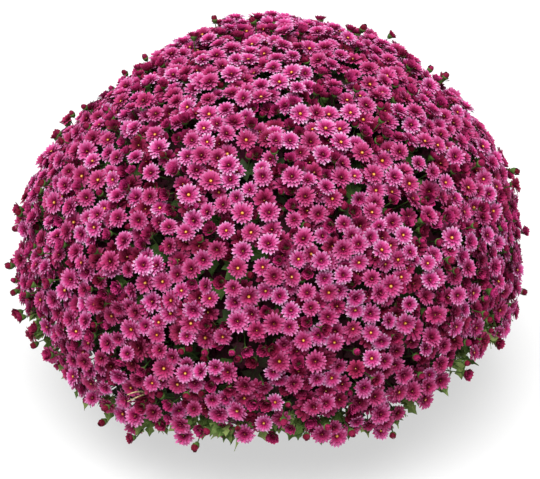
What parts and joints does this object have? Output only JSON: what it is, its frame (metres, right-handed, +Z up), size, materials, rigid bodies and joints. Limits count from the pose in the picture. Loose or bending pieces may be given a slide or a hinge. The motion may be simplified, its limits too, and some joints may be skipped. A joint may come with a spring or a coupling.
{
  "type": "pot chrysanthemum",
  "caption": "Broad dome of small double blooms borne in sprays on leafy stems, rising from one woody crown in soil in a plain round tapered pot.",
  "frame": {"origin": "middle of the pot's underside, on the surface it stands on", "axes": "+Z up along the pot's axis; -Y towards the camera of the picture"},
  "size_m": [0.6208, 0.6246, 0.4839],
  "materials": {
    "petals": "matte",
    "leaves": "matte",
    "bark": "matte",
    "soil": "matte",
    "pot": "satin"
  },
  "bodies": {
    "root": {"spray_01_blooms": "petals", "spray_01_leafy_stem": "leaves", "spray_02_blooms": "petals", "spray_02_leafy_stem": "leaves", "spray_03_blooms": "petals", "spray_03_leafy_stem": "leaves", "spray_04_blooms": "petals", "spray_04_leafy_stem": "leaves", "spray_05_blooms": "petals", "spray_05_leafy_stem": "leaves", "spray_06_blooms": "petals", "spray_06_leafy_stem": "leaves", "spray_07_blooms": "petals", "spray_07_leafy_stem": "leaves", "spray_08_blooms": "petals", "spray_08_leafy_stem": "leaves", "spray_09_blooms": "petals", "spray_09_leafy_stem": "leaves", "spray_10_blooms": "petals", "spray_10_leafy_stem": "leaves", "spray_11_blooms": "petals", "spray_11_leafy_stem": "leaves", "spray_12_blooms": "petals", "spray_12_leafy_stem": "leaves", "spray_13_blooms": "petals", "spray_13_leafy_stem": "leaves", "crown": "bark", "soil": "soil", "pot": "pot"}
  },
  "joints": []
}
